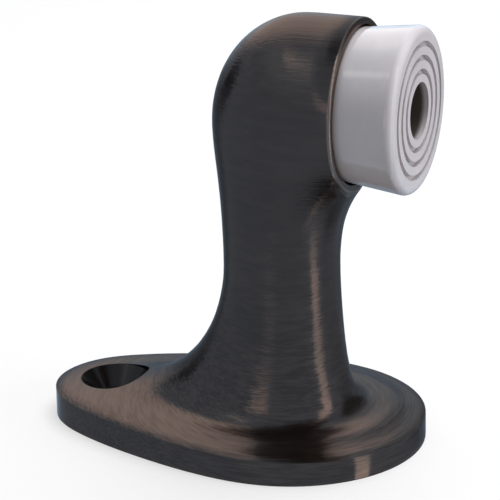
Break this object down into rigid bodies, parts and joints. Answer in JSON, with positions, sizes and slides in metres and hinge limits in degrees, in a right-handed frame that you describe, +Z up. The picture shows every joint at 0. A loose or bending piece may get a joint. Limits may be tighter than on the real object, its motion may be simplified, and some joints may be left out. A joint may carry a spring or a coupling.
{
  "type": "gooseneck floor stop",
  "caption": "Floor-mounted door stop: pear-shaped base flaring into a round neck that bends forward to a barrel holding a grooved rubber bumper, with a countersunk screw hole.",
  "frame": {"origin": "on the floor plane, straight below the neck's axis", "axes": "+Z up from the floor, +X the way the bumper faces, +Y to the left of that"},
  "size_m": [0.0596, 0.0408, 0.0675],
  "materials": {
    "bronze": "dark oil-rubbed bronze, finely brushed, satin",
    "rubber": "pale grey moulded rubber, satin"
  },
  "bodies": {
    "root": {"stop_casting": "bronze", "rubber_bumper": "rubber"}
  },
  "joints": []
}
